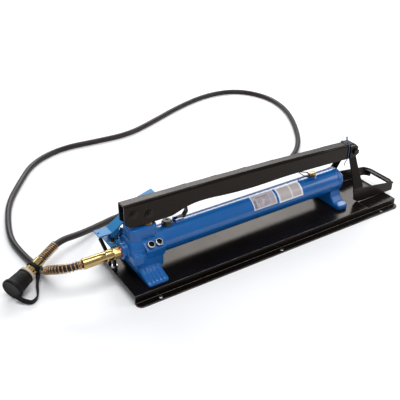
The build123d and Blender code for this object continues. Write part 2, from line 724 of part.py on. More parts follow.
HOSE_ROUTE = [
    (-389.5, 0.0, 71.0),
    (-420.0, 0.0, 71.0),
    (-442.5, 13.5, 66.0),
    (-453.0, 38.0, 53.5),
    (-452.5, 71.0, 31.5),
    (-453.5, 102.0, 10.0),
    (-459.0, 137.0, 7.0),
    (-467.0, 188.0, 7.0),
    (-470.0, 246.0, 7.0),
    (-455.0, 315.0, 7.0),
    (-426.0, 398.0, 7.0),
    (-372.0, 480.0, 7.0),
    (-308.0, 566.0, 7.0),
    (-212.0, 608.0, 7.0),
    (-112.0, 597.0, 7.0),
    (-14.0, 592.0, 7.0),
    (84.0, 632.0, 7.0),
    (210.0, 690.0, 7.0),
    (336.0, 726.0, 7.0),
    (440.0, 706.0, 7.0),
    (492.0, 612.0, 7.0),
    (480.0, 500.0, 7.0),
    (424.0, 384.0, 7.0),
    (342.0, 266.0, 7.0),
    (232.0, 198.0, 7.0),
    (100.0, 194.0, 7.0),
    (-40.0, 204.0, 7.0),
    (-160.0, 212.0, 7.0),
    (-238.0, 210.0, 7.0),
    (-300.0, 187.0, 13.0),
    (-352.0, 157.0, 29.0),
]


def hose_points():
    """The hose's route, ended in line with the coupler."""
    last = COUPLER_CAP + COUPLER_DIR * GUARD_END
    return [Vector(*p) for p in HOSE_ROUTE] + [last + COUPLER_DIR * 12, last - COUPLER_DIR * 14]


def bend_radii(points):
    """The largest radius that each corner's two runs allow."""
    radii = []
    for a, b, c in zip(points, points[1:], points[2:]):
        turn = math.radians((b - a).get_angle(c - b))
        shorter = min((b - a).length, (c - b).length)
        radii.append(0.45 * shorter / math.tan(turn / 2))
    return radii


def hose():
    """The hose, as straight runs joined by tangent arcs."""
    points = hose_points()
    radii = bend_radii(points)
    path = FilletPolyline(*points, radius=radii)
    tube = sweep(Plane(origin=path @ 0, z_dir=path % 0) * Circle(HOSE_R), path=path)
    print("hose radii", [round(r) for r in radii])
    print("hose length", round(path.length), "volume ratio",
          round(tube.volume / (math.pi * HOSE_R ** 2 * path.length), 4))
    return tube


def hose_guard():
    """The wire guard round the hose, as a thin bent sleeve."""
    route = hose_points()[:6]
    radii = bend_radii(route)
    path = FilletPolyline(Vector(FERRULE_END, *OUTLET), *route[1:], radius=radii)
    plane = Plane(origin=path @ 0, z_dir=path % 0)
    sleeve = sweep(plane * (Circle(HOSE_R + 2.6) - Circle(HOSE_R + 0.3)), path=path)
    return sleeve & block(-500, -380, -40, 79, 0, 120)


def coupler_guard():
    """The close-wound guard at the coupler's end of the hose."""
    return ring(COUPLER_CAP, COUPLER_DIR, 88, GUARD_END, HOSE_R, HOSE_R + 2.8)


def coupler_ferrule():
    """The ferrule on the coupler, with its tail inside the guard."""
    body = bar(COUPLER_CAP, COUPLER_DIR, 70, 88, 10.6)
    body += bar(COUPLER_CAP, COUPLER_DIR, 88, GUARD_END - 14, HOSE_R)
    return body - bar(COUPLER_CAP, COUPLER_DIR, 69, GUARD_END, 3)


def coupler_body():
    """The brass coupler half: a nose, a grooved neck and a shoulder."""
    body = bar(COUPLER_CAP, COUPLER_DIR, 12, 50, 9) + bar(COUPLER_CAP, COUPLER_DIR, 50, 70, 10)
    body += bar(COUPLER_CAP, COUPLER_DIR, 53, 61, 11.5)
    return body - bar(COUPLER_CAP, COUPLER_DIR, 11, 71, 4)


def coupler_collar():
    """The union collar that turns on the coupler body's nose."""
    return ring(COUPLER_CAP, COUPLER_DIR, 43.5, 49.9, 9 + RUNNING, 16.5)


def dust_cap():
    """The rubber dust cap over the coupler's nose."""
    body = bar(COUPLER_CAP, COUPLER_DIR, 0, 9, 22)
    body += taper(COUPLER_CAP, COUPLER_DIR, 9, 37, 19.5, 17)
    body += bar(COUPLER_CAP, COUPLER_DIR, 37, 43.3, 17)
    return body - bar(COUPLER_CAP, COUPLER_DIR, 5, 44, 9 + RUNNING)


def cap_strap():
    """The strap's loop round the coupler's neck."""
    return ring(COUPLER_CAP, COUPLER_DIR, 62.5, 69.5, 10, 13.5)


# ---------------------------------------------------------------- labels
def label(x0, x1, low_angle, high_angle):
    """A thin label wrapped round the tube's near side."""
    sleeve = rod_x(x0, x1, 0, TUBE_Z, TUBE_R + 0.25) - rod_x(x0 - 1, x1 + 1, 0, TUBE_Z, TUBE_R)
    reach = 60.0
    a, b = math.radians(low_angle), math.radians(high_angle)
    wedge = slab_yz(closed(
        (0, TUBE_Z), (-reach * math.sin(a), TUBE_Z + reach * math.cos(a)),
        (-reach * math.sin((a + b) / 2) * 1.5, TUBE_Z + reach * 1.5 * math.cos((a + b) / 2)),
        (-reach * math.sin(b), TUBE_Z + reach * math.cos(b))), x0, x1)
    return sleeve & wedge


# ---------------------------------------------------------------- the nodes
NODES = {
    "base_plate": base_plate,
    "head_bolts": head_bolts,
    "rear_bolts": rear_bolts,
    "pump_head": pump_head,
    "gland_nut": gland_nut,
    "piston_seal": piston_seal,
    "piston": piston,
    "valve_plugs": valve_plugs,
    "discharge_ball": lambda: valve_ball(0),
    "relief_ball": lambda: valve_ball(1),
    "discharge_spring": lambda: valve_spring(0),
    "relief_spring": lambda: valve_spring(1),
    "suction_ball": suction_ball,
    "pivot_pin": lambda: cross_pin(*PIVOT, PIN_R),
    "pivot_clips": lambda: pin_clips(*PIVOT, 0.0),
    "piston_pin": lambda: cross_pin(PISTON_X, piston_pin_height(), PIN_R),
    "piston_pin_clips": lambda: pin_clips(PISTON_X, piston_pin_height(), 0.4),
    "reservoir_tube": reservoir_tube,
    "rear_cap": rear_cap,
    "tie_rod": tie_rod,
    "tie_rod_nut": tie_rod_nut,
    "front_seal": lambda: tube_seal(TUBE_START + 6),
    "rear_seal": lambda: tube_seal(TUBE_END - 6),
    "suction_tube": suction_tube,
    "suction_strainer": suction_strainer,
    "filler_boss": filler_boss,
    "filler_plug": filler_plug,
    "filler_bail": filler_bail,
    "vent_plug": vent_plug,
    "latch_block": latch_block,
    "latch_pin": latch_pin,
    "storage_latch": storage_latch,
    "lever_channel": lever_channel,
    "pedal_frame": pedal_frame,
    "pedal_bolts": pedal_bolts,
    "lever_tie": lever_tie,
    "release_pedal": release_pedal,
    "release_bracket": release_bracket,
    "release_pivot_pin": release_pivot_pin,
    "bracket_screws": bracket_screws,
    "bracket_stud": bracket_stud,
    "bracket_nuts": bracket_nuts,
    "spring_anchor": spring_anchor,
    "release_spring": release_spring,
    "release_valve": release_valve,
    "release_pin": release_pin,
    "outlet_adapter": outlet_adapter,
    "outlet_washer": outlet_washer,
    "hose_ferrule": hose_ferrule,
    "hose_guard": hose_guard,
    "hose": hose,
    "coupler_guard": coupler_guard,
    "coupler_ferrule": coupler_ferrule,
    "coupler_body": coupler_body,
    "coupler_collar": coupler_collar,
    "dust_cap": dust_cap,
    "cap_strap": cap_strap,
    "label_left": lambda: label(-31, 29, 5, 76),
    "label_right": lambda: label(35, 100, 5, 80),
}


def main():
    """Write one STEP file for each node."""
    os.makedirs("parts", exist_ok=True)
    for name, make in NODES.items():
        made = make()
        shape = Compound(children=made) if isinstance(made, list) else made
        export_step(shape, f"parts/{name}.step")


main()
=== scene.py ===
import json
import math

import bmesh
import bpy
from mathutils import Matrix, Vector


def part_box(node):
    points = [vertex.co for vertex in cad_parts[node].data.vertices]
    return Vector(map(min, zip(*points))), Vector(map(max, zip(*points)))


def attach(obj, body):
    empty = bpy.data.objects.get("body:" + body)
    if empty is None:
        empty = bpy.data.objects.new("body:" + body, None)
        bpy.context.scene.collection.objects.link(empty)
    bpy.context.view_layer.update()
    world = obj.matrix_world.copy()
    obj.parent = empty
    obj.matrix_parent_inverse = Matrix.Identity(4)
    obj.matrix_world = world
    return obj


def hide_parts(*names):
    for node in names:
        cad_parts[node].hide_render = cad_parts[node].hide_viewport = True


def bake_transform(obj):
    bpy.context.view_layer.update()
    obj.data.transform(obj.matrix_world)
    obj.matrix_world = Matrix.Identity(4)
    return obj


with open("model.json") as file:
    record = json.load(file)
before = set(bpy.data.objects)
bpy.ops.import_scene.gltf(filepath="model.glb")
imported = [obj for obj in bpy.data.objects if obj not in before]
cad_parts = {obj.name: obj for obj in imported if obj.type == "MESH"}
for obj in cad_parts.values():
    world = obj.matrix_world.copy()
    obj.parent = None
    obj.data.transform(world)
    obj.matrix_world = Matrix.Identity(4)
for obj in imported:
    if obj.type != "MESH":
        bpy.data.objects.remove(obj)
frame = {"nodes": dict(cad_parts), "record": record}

bl_info = {
    "name": "Foot pump",
    "version": (1, 0, 0),
    "blender": (4, 5, 0),
    "location": "View3D > Sidebar > Foot pump",
    "description": "Builds the detailed pieces and finishes of a foot-operated hydraulic pump",
    "category": "Object",
}

MM = 0.001
RECORD = frame["record"]
NODES = frame["nodes"]


def mm(*values):
    """A point given in millimetres, as a vector in metres."""
    return Vector([v * MM for v in values])


COUPLER_CAP = mm(-527.7, 59.0, 22.5)
COUPLER_DIR = Vector((117.6, 73.0, 17.5)).normalized()
GUARD_END = 140.0 * MM
HOSE_R = 7.0 * MM
TUBE_Z = 71.0 * MM
TUBE_R = 27.5 * MM
RELEASE_MID = 43.0 * MM
FERRULE_START = mm(-345.0, 0, 71)
FERRULE_END = mm(-405.5, 0, 71)
GUARD_SIDE = 0.078

# The hose's route, from inside the pump's ferrule to the coupler, in millimetres.
HOSE_ROUTE = [
    (-389.5, 0.0, 71.0), (-420.0, 0.0, 71.0), (-442.5, 13.5, 66.0), (-453.0, 38.0, 53.5),
    (-452.5, 71.0, 31.5), (-453.5, 102.0, 10.0), (-459.0, 137.0, 7.0), (-467.0, 188.0, 7.0),
    (-470.0, 246.0, 7.0), (-455.0, 315.0, 7.0), (-426.0, 398.0, 7.0), (-372.0, 480.0, 7.0),
    (-308.0, 566.0, 7.0), (-212.0, 608.0, 7.0), (-112.0, 597.0, 7.0), (-14.0, 592.0, 7.0),
    (84.0, 632.0, 7.0), (210.0, 690.0, 7.0), (336.0, 726.0, 7.0), (440.0, 706.0, 7.0),
    (492.0, 612.0, 7.0), (480.0, 500.0, 7.0), (424.0, 384.0, 7.0), (342.0, 266.0, 7.0),
    (232.0, 198.0, 7.0), (100.0, 194.0, 7.0), (-40.0, 204.0, 7.0), (-160.0, 212.0, 7.0),
    (-238.0, 210.0, 7.0), (-300.0, 187.0, 13.0), (-352.0, 157.0, 29.0),
]


# Radii in metres over which shading rounds an edge, and where paint is paled at one, part rubbed paint and
# part painted edge highlight.
SMALL_EDGE = 0.0003
WEAR_AND_HIGHLIGHT_EDGE = 0.0012
BEVEL_SAMPLES = 6

# Coils are traced in steps of this length, in metres.
COIL_STEP = 0.0004

# A printed film lies this far off the tube, in metres.
FILM_GAP = 0.00022


# ---------------------------------------------------------------- shader arithmetic
class Signal:
    """A node's output socket that takes part in arithmetic."""

    def __init__(self, tree, socket):
        self.tree = tree
        self.socket = socket

    def math(self, operation, *others, clamp=False):
        node = self.tree.nodes.new("ShaderNodeMath")
        node.operation = operation
        node.use_clamp = clamp
        for i, value in enumerate((self, *others)):
            if isinstance(value, Signal):
                self.tree.links.new(value.socket, node.inputs[i])
            else:
                node.inputs[i].default_value = value
        return Signal(self.tree, node.outputs[0])

    def __add__(self, other):
        return self.math("ADD", other)

    def __sub__(self, other):
        return self.math("SUBTRACT", other)

    def __mul__(self, other):
        return self.math("MULTIPLY", other)

    def __truediv__(self, other):
        return self.math("DIVIDE", other)

    def __mod__(self, other):
        return self.math("FLOORED_MODULO", other)

    def __gt__(self, other):
        return self.math("GREATER_THAN", other)

    def __lt__(self, other):
        return self.math("LESS_THAN", other)

    def floor(self):
        return self.math("FLOOR")

    def between(self, low, high):
        return (self > low) * (self < high)

    def spread(self, low, high):
        """Stretches low to high over 0 to 1."""
        node = self.tree.nodes.new("ShaderNodeMapRange")
        node.inputs["From Min"].default_value = low
        node.inputs["From Max"].default_value = high
        self.tree.links.new(self.socket, node.inputs["Value"])
        return Signal(self.tree, node.outputs["Result"])


class Look:
    """A procedural material built on one Principled shader."""

    def __init__(self, name, **constants):
        self.material = bpy.data.materials.new(name)
        self.material.use_nodes = True
        self.tree = self.material.node_tree
        self.shader = self.tree.nodes["Principled BSDF"]
        for socket, value in constants.items():
            self.shader.inputs[socket.replace("_", " ")].default_value = value
        self.coordinates = self.tree.nodes.new("ShaderNodeTexCoord")

    def signal(self, node, output=0):
        return Signal(self.tree, node.outputs[output])

    def noise(self, scale, detail=3):
        """Noise over the piece's own coordinates, scale features to the metre."""
        node = self.tree.nodes.new("ShaderNodeTexNoise")
        node.inputs["Scale"].default_value = scale
        node.inputs["Detail"].default_value = detail
        node.inputs["Roughness"].default_value = 0.55
        self.tree.links.new(self.coordinates.outputs["Object"], node.inputs["Vector"])
        return self.signal(node, "Fac")

    def axis(self, name, source):
        """One axis of a set of texture coordinates."""
        node = self.tree.nodes.new("ShaderNodeSeparateXYZ")
        self.tree.links.new(self.coordinates.outputs[source], node.inputs[0])
        return self.signal(node, name)

    def edges(self):
        """High within a millimetre or so of a crease."""
        bevel = self.tree.nodes.new("ShaderNodeBevel")
        bevel.samples = BEVEL_SAMPLES
        bevel.inputs["Radius"].default_value = WEAR_AND_HIGHLIGHT_EDGE
        surface = self.tree.nodes.new("ShaderNodeNewGeometry")
        dot = self.tree.nodes.new("ShaderNodeVectorMath")
        dot.operation = "DOT_PRODUCT"
        self.tree.links.new(bevel.outputs[0], dot.inputs[0])
        self.tree.links.new(surface.outputs["Normal"], dot.inputs[1])
        return (self.signal(dot, "Value") * -1.0 + 1.0).spread(0.01, 0.12)

    def mix(self, amount, first, second):
        node = self.tree.nodes.new("ShaderNodeMix")
        node.data_type = "RGBA"
        self.tree.links.new(amount.socket, node.inputs["Factor"])
        for index, value in ((6, first), (7, second)):
            if isinstance(value, Signal):
                self.tree.links.new(value.socket, node.inputs[index])
            else:
                node.inputs[index].default_value = (*value, 1)
        return Signal(self.tree, node.outputs[2])

    def feed(self, socket, signal):
        self.tree.links.new(signal.socket, self.shader.inputs[socket])
        return self

    def relief(self, height, strength, distance, soften=0.0):
        """Bump from a height, over edges rounded by soften metres."""
        bump = self.tree.nodes.new("ShaderNodeBump")
        bump.inputs["Strength"].default_value = strength
        bump.inputs["Distance"].default_value = distance
        self.tree.links.new(height.socket, bump.inputs["Height"])
        if soften:
            bevel = self.tree.nodes.new("ShaderNodeBevel")
            bevel.samples = BEVEL_SAMPLES
            bevel.inputs["Radius"].default_value = soften
            self.tree.links.new(bevel.outputs[0], bump.inputs["Normal"])
        self.tree.links.new(bump.outputs[0], self.shader.inputs["Normal"])
        return self


def scaled(colour, factor):
    return tuple(min(1.0, c * factor) for c in colour)


def paint(name, colour, roughness, grain, soften, edge_wear_and_highlight, coat, pale=None, shine=0.25, tint=(1, 1, 1)):
    """Enamel: a slight mottle, orange peel and paler edges, part rubbed paint and part painted edge
    highlight.
    """
    look = Look(name, Coat_Weight=coat, Coat_Roughness=0.08, Specular_IOR_Level=shine,
                Specular_Tint=(*tint, 1))
    patches = look.noise(9, 4).spread(0.35, 0.7)
    fine = look.noise(420, 2)
    base = look.mix(patches, scaled(colour, 0.88), scaled(colour, 1.12))
    # Paler paint near creases: part rubbed paint, part a painted highlight along lit edges.
    wear_and_highlight_edges = look.edges() * (look.noise(60, 3).spread(0.30, 0.6) * 0.6 + 0.4) * edge_wear_and_highlight
    look.feed("Base Color", look.mix(wear_and_highlight_edges, base, pale or tuple(c * 0.7 + 0.12 for c in colour)))
    look.feed("Roughness", patches * 0.08 + fine * 0.04 + (roughness - 0.06))
    return look.relief(fine * 0.6 + look.noise(120, 2), grain, 0.001, soften).material


def metal(name, colour, roughness=0.25, tarnish=0.4):
    """Bare metal: fine tool marks and a little tarnish."""
    look = Look(name, Metallic=1.0)
    marks = look.noise(700, 2)
    patches = look.noise(26, 3).spread(0.4, 0.8)
    base = look.mix(patches * tarnish, colour, scaled(colour, 0.6))
    look.feed("Base Color", base)
    look.feed("Roughness", marks * 0.08 + patches * 0.10 + (roughness - 0.06))
    return look.relief(marks, 0.03, 0.0004, SMALL_EDGE).material


def rubber(name, colour, roughness):
    """Moulded rubber: a fine skin, dust and a few scuffs."""
    look = Look(name, Specular_IOR_Level=0.16)
    skin = look.noise(500, 3)
    dust = look.noise(22, 5).spread(0.45, 0.8)
    scuff = (look.noise(70, 6) > 0.66) * 0.35
    base = look.mix(dust * 0.3, colour, tuple(c * 0.8 + 0.02 for c in colour))
    look.feed("Base Color", look.mix(scuff, base, tuple(c + 0.02 for c in colour)))
    look.feed("Roughness", dust * 0.16 + skin * 0.08 + (roughness - 0.1))
    return look.relief(skin, 0.2, 0.0006).material


def plastic(name, colour, roughness):
    """Moulded plastic: a fine skin and faint patches."""
    look = Look(name)
    skin = look.noise(600, 2)
    patches = look.noise(30, 4).spread(0.4, 0.7)
    look.feed("Base Color", look.mix(patches, colour, scaled(colour, 0.88)))
    look.feed("Roughness", patches * 0.1 + (roughness - 0.05))
    return look.relief(skin, 0.08, 0.0005, SMALL_EDGE).material


def hose_rubber():
    """The hose's cover: a fine grain and dusty patches."""
    look = Look("hose_cover", Specular_IOR_Level=0.28)
    wrap = look.noise(900, 2)
    patches = look.noise(16, 5).spread(0.4, 0.75)
    base = look.mix(patches, (0.013, 0.009, 0.007), (0.028, 0.020, 0.016))
    look.feed("Base Color", base)
    look.feed("Roughness", patches * 0.14 + wrap * 0.06 + 0.30)
    return look.relief(wrap, 0.25, 0.0004).material


def floor_look():
    look = Look("floor", Roughness=0.85, Specular_IOR_Level=0.1)
    patches = look.noise(3, 3)
    look.feed("Base Color", look.mix(patches, (0.90, 0.90, 0.90), (0.92, 0.92, 0.92)))
    return look.material


def label_left():
    """A film label with a picture strip and rows of bars, all meaningless."""
    look = Look("label_left_print", Coat_Weight=0.5, Coat_Roughness=0.2)
    u, v = look.axis("X", "UV"), look.axis("Y", "UV")
    sheet = (u.between(0.03, 0.97)) * (v.between(0.04, 0.985))
    column = (u * 30.0).floor()
    block = look.tree.nodes.new("ShaderNodeTexWhiteNoise")
    block.noise_dimensions = "2D"
    join = look.tree.nodes.new("ShaderNodeCombineXYZ")
    look.tree.links.new(column.socket, join.inputs[0])
    look.tree.links.new((v * 9.0).floor().socket, join.inputs[1])
    look.tree.links.new(join.outputs[0], block.inputs["Vector"])
    scatter = look.signal(block, "Value")
    rows = ((v * 22.0) % 1.0) < 0.5
    text = rows * (scatter > 0.35) * u.between(0.20, 0.72) * v.between(0.10, 0.66)
    strip = u.between(0.05, 0.15) * v.between(0.06, 0.62) * (((v * 9.0) % 1.0) > 0.28)
    title = v.between(0.70, 0.76) * u.between(0.20, 0.70) * (((u * 16.0) % 1.0) > 0.22)
    panel = u.between(0.76, 0.93) * v.between(0.08, 0.72)
    paper = look.mix(look.noise(60, 3), (0.44, 0.40, 0.42), (0.34, 0.31, 0.34))
    tint = look.mix(scatter, (0.52, 0.34, 0.14), (0.22, 0.26, 0.42))
    face = look.mix(panel, paper, tint)
    face = look.mix(text * 0.8, face, (0.10, 0.07, 0.09))
    face = look.mix(title * 0.85, face, (0.08, 0.05, 0.07))
    face = look.mix(strip * 0.92, face, (0.06, 0.04, 0.04))
    look.feed("Base Color", look.mix(sheet, (0.62, 0.66, 0.74), face))
    look.feed("Roughness", look.noise(80, 3) * 0.12 + 0.28)
    return look.relief(look.noise(200, 2), 0.04, 0.0004).material


def label_right():
    """A film label with two columns of faint slanting rules, all meaningless."""
    look = Look("label_right_print", Coat_Weight=0.5, Coat_Roughness=0.2)
    u, v = look.axis("X", "UV"), look.axis("Y", "UV")
    rules = (((u * 26.0 + v * 0.4) % 1.0) < 0.42) * ((v * 17.0 % 1.0) < 0.72)
    columns = u.between(0.07, 0.52) + u.between(0.58, 0.93)
    field = columns * v.between(0.09, 0.90)
    paper = look.mix(look.noise(50, 3), (0.66, 0.64, 0.64), (0.54, 0.52, 0.54))
    face = look.mix(field * 0.75, paper, (0.36, 0.32, 0.29))
    face = look.mix(rules * field * 0.55, face, (0.20, 0.16, 0.17))
    frame_line = u.between(0.02, 0.98) * v.between(0.03, 0.98)
    look.feed("Base Color", look.mix(frame_line, (0.80, 0.84, 0.92), face))
    look.feed("Roughness", look.noise(80, 3) * 0.12 + 0.28)
    return look.relief(look.noise(200, 2), 0.04, 0.0004).material


LOOKS = {}


def looks():
    """Makes every shared finish once."""
    if LOOKS:
        return LOOKS
    blue = (0.003, 0.092, 0.31)
    LOOKS.update({
        # The base's strongly paled edges are a painted highlight along its bright top edges, over a little
        # rubbed paint.
        "black_base": paint("base_enamel", (0.004, 0.003, 0.0025), roughness=0.24, grain=0.03,
                            soften=0.0009, edge_wear_and_highlight=0.9, coat=0.0, pale=(0.30, 0.28, 0.26), shine=0.17,
                            tint=(1.0, 0.80, 0.64)),
        "blue_paint": paint("blue_enamel", blue, roughness=0.22, grain=0.02, soften=0.0010, edge_wear_and_highlight=0.4,
                            coat=0.6),
        "cast_blue": paint("cast_enamel", blue, roughness=0.30, grain=0.18, soften=0.0, edge_wear_and_highlight=0.0,
                           coat=0.35),
        "light_blue_paint": paint("pedal_enamel", (0.026, 0.20, 0.44), roughness=0.34, grain=0.06,
                                  soften=0.0005, edge_wear_and_highlight=0.5, coat=0.0),
        "black_lever": paint("lever_enamel", (0.007, 0.005, 0.004), roughness=0.28, grain=0.04,
                             soften=0.0009, edge_wear_and_highlight=0.35, coat=0.0, pale=(0.05, 0.045, 0.04), shine=0.17,
                             tint=(1.0, 0.86, 0.76)),
        "steel": metal("ground_steel", (0.60, 0.60, 0.61), 0.24),
        "zinc": metal("zinc_plate", (0.52, 0.53, 0.53), 0.30),
        # Near black for the valve plugs' hexagon sockets: painted shade inside the recess.
        "socket": metal("socket_painted_shade", (0.010, 0.010, 0.012), 0.5),
        "chrome": metal("hard_chrome", (0.82, 0.82, 0.83), 0.12, tarnish=0.1),
        "dark_steel": metal("black_steel", (0.035, 0.030, 0.028), 0.36),
        "brass": metal("brass_finish", (0.50, 0.35, 0.15), 0.22, tarnish=0.2),
        "coil": metal("coil_wire", (0.60, 0.38, 0.19), 0.24, tarnish=0.4),
        "copper": metal("copper_finish", (0.46, 0.13, 0.07), 0.34),
        "hose_rubber": hose_rubber(),
        "black_rubber": rubber("cap_rubber", (0.005, 0.004, 0.004), 0.55),
        "seal_rubber": rubber("seal_nitrile", (0.018, 0.018, 0.018), 0.5),
        "cream_plastic": plastic("cream_ring", (0.50, 0.42, 0.30), 0.35),
        "grey_plastic": plastic("vent_plastic", (0.012, 0.012, 0.013), 0.42),
        "blue_wire": plastic("wire_cover", (0.018, 0.075, 0.17), 0.3),
        "label_left": label_left(),
        "label_right": label_right(),
    })
    return LOOKS


# ---------------------------------------------------------------- building pieces
def placed(name, data):
    """A new object in the scene."""
    obj = bpy.data.objects.new(name, data)
    bpy.context.scene.collection.objects.link(obj)
    return obj


def finish_piece(obj, look, body, replaced=()):
    """Gives a piece its material, its body and the nodes that it stands for."""
    if not obj.data.materials:
        obj.data.materials.append(looks()[look])
    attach(obj, body)
    if replaced:
        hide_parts(*replaced)
    return obj


def mesh_piece(name, bm, look, body, replaced=(), smooth=40):
    """Turns a bmesh into a finished piece, smooth below a crease angle."""
    bmesh.ops.recalc_face_normals(bm, faces=bm.faces)
    for face in bm.faces:
        face.smooth = True
    for edge in bm.edges:
        edge.smooth = len(edge.link_faces) == 2 and edge.calc_face_angle(0) < math.radians(smooth)
    mesh = bpy.data.meshes.new(name)
    bm.to_mesh(mesh)
    bm.free()
    return finish_piece(placed(name, mesh), look, body, replaced)


def wire_piece(name, points, radius, look, body, replaced=(), smooth=True, closed=False, ride=True):
    """A round wire along points: a smooth spline through them, or straight steps."""
    curve = bpy.data.curves.new(name, "CURVE")
    curve.dimensions = "3D"
    curve.bevel_depth = radius
    curve.bevel_resolution = 4
    curve.resolution_u = 8
    curve.use_fill_caps = True
    spline = curve.splines.new("NURBS" if smooth else "POLY")
    spline.points.add(len(points) - 1)
    for target, point in zip(spline.points, points):
        target.co = (*point, 1)
    if smooth:
        spline.order_u = 3
        spline.use_endpoint_u = not closed
    spline.use_cyclic_u = closed
    spline.use_smooth = True
    obj = placed(name, curve)
    if ride:
        finish_piece(obj, look, body, replaced)
    return obj


def turned(profile, start, direction, steps=64):
    """A bmesh turned about a line: profile holds (distance, radius) pairs."""
    bm = bmesh.new()
    verts = [bm.verts.new((r, 0, s)) for s, r in profile]
    edges = [bm.edges.new(pair) for pair in zip(verts, verts[1:])]
    bmesh.ops.spin(bm, geom=verts + edges, cent=(0, 0, 0), axis=(0, 0, 1), angle=2 * math.pi,
                   steps=steps, use_merge=True)
    bmesh.ops.remove_doubles(bm, verts=bm.verts, dist=1e-6)
    turn = Vector((0, 0, 1)).rotation_difference(direction).to_matrix().to_4x4()
    bmesh.ops.transform(bm, matrix=Matrix.Translation(start) @ turn, verts=bm.verts)
    return bm


def profile_mm(*pairs):
    return [(s * MM, r * MM) for s, r in pairs]


def frames_along(points):
    """For each point of a line, its place and two directions across the line."""
    tangents = []
    for i in range(len(points)):
        a, b = points[max(i - 1, 0)], points[min(i + 1, len(points) - 1)]
        tangents.append((b - a).normalized())
    side = tangents[0].orthogonal().normalized()
    found = []
    for point, tangent in zip(points, tangents):
        side = (side - tangent * side.dot(tangent)).normalized()
        found.append((point, side, tangent.cross(side)))
    return found


def resampled(points, step):
    """Points at equal steps along a line."""
    found, left = [points[0].copy()], step
    for a, b in zip(points, points[1:]):
        run = (b - a).length
        while run >= left:
            a = a + (b - a).normalized() * left
            found.append(a.copy())
            run -= left
            left = step
        left -= run
    return found


def coil_points(points, radius, pitches, per_turn):
    """A helix round a line: pitches gives the pitch at a share of its length."""
    line = resampled(points, COIL_STEP)
    rings = frames_along(line)
    angle, found = 0.0, []
    for i, (point, side, up) in enumerate(rings):
        share = i / len(rings)
        angle += 2 * math.pi * COIL_STEP / pitches(share)
        found.append((angle, point + (side * math.cos(angle) + up * math.sin(angle)) * radius))
    kept, last = [], -1.0
    for angle, place in found:
        if angle - last >= 2 * math.pi / per_turn:
            kept.append(place)
            last = angle
    return kept


def spline_line(obj):
    """The centreline that a curve object draws."""
    mesh = bpy.data.meshes.new_from_object(obj)
    points = [v.co.copy() for v in mesh.vertices]
    bpy.data.meshes.remove(mesh)
    return points


def join_rings(bm, rings):
    """Faces from each ring to the next, and one over each end."""
    for first, second in zip(rings, rings[1:]):
        for i in range(len(first)):
            j = (i + 1) % len(first)
            bm.faces.new((first[i], first[j], second[j], second[i]))
    bm.faces.new(rings[0])
    bm.faces.new(list(reversed(rings[-1])))


def band(points, across, width, thick):
    """A flat strap along points, its width lying along the across directions."""
    bm = bmesh.new()
    rings = []
    for i, (point, side) in enumerate(zip(points, across)):
        a, b = points[max(i - 1, 0)], points[min(i + 1, len(points) - 1)]
        along = (b - a).normalized()
        side = (side - along * side.dot(along)).normalized()
        up = along.cross(side)
        ring = []
        for u, v in ((-1, -0.55), (-0.8, -1), (0.8, -1), (1, -0.55), (1, 0.55), (0.8, 1), (-0.8, 1),
                     (-1, 0.55)):
            ring.append(bm.verts.new(point + side * (u * width / 2) + up * (v * thick / 2)))
        rings.append(ring)
    join_rings(bm, rings)
    return bm


def catmull(points, steps=8):
    """A smooth line through every point."""
    found = []
    ends = [points[0]] + list(points) + [points[-1]]
    for a, b, c, d in zip(ends, ends[1:], ends[2:], ends[3:]):
        for i in range(steps):
            t = i / steps
            found.append(0.5 * ((2 * b) + (c - a) * t + (2 * a - 5 * b + 4 * c - d) * t * t
                                + (3 * b - a - 3 * c + d) * t * t * t))
    found.append(points[-1].copy())
    return found


def softened(node, name, look, body, voxel, rounds):
    """A casting's skin: the node's shape with its edges rubbed round."""
    obj = placed(name, NODES[node].data.copy())
    obj.data.materials.clear()
    remesh = obj.modifiers.new("skin", "REMESH")
    remesh.mode = "VOXEL"
    remesh.voxel_size = voxel
    smooth = obj.modifiers.new("round", "SMOOTH")
    smooth.factor = 0.5
    smooth.iterations = rounds
    depsgraph = bpy.context.evaluated_depsgraph_get()
    mesh = bpy.data.meshes.new_from_object(obj.evaluated_get(depsgraph))
    mesh.name = name
    bpy.data.objects.remove(obj)
    for polygon in mesh.polygons:
        polygon.use_smooth = True
    return finish_piece(placed(name, mesh), look, body, (node,))


# ---------------------------------------------------------------- stage
def make_camera(lens):
    """The camera, aimed by its azimuth and its angle below level."""
    data = bpy.data.cameras.new("camera")
    data.lens = lens
    data.sensor_width = 36.0
    obj = placed("camera", data)
    obj.location = (-0.73081, -0.92284, 0.77802)
    azimuth, down = math.radians(32.247), math.radians(30.779)
    look = Vector((math.sin(azimuth) * math.cos(down), math.cos(azimuth) * math.cos(down),
                   -math.sin(down)))
    obj.rotation_euler = look.to_track_quat("-Z", "Y").to_euler()
    bpy.context.scene.camera = obj


def make_light(name, place, target, size, power):
    """A rectangular light aimed at a target."""
    data = bpy.data.lights.new(name, "AREA")
    data.shape = "RECTANGLE"
    data.size, data.size_y = size
    data.energy = power
    obj = placed(name, data)
    obj.location = place
    obj.rotation_euler = (Vector(target) - Vector(place)).to_track_quat("-Z", "Y").to_euler()


def make_world(strength):
    world = bpy.data.worlds.new("studio")
    world.use_nodes = True
    background = world.node_tree.nodes["Background"]
    background.inputs["Color"].default_value = (0.90, 0.93, 1.0, 1)
    background.inputs["Strength"].default_value = strength
    bpy.context.scene.world = world


def make_floor():
    bm = bmesh.new()
    bmesh.ops.create_grid(bm, x_segments=1, y_segments=1, size=14)
    mesh = bpy.data.meshes.new("floor")
    bm.to_mesh(mesh)
    bm.free()
    mesh.materials.append(floor_look())
    obj = placed("floor", mesh)


# ---------------------------------------------------------------- hose and coupler
def hose_points():
    """The hose's route, ended in line with the coupler."""
    last = COUPLER_CAP + COUPLER_DIR * GUARD_END
    return [mm(*p) for p in HOSE_ROUTE] + [last + COUPLER_DIR * 0.012, last - COUPLER_DIR * 0.014]


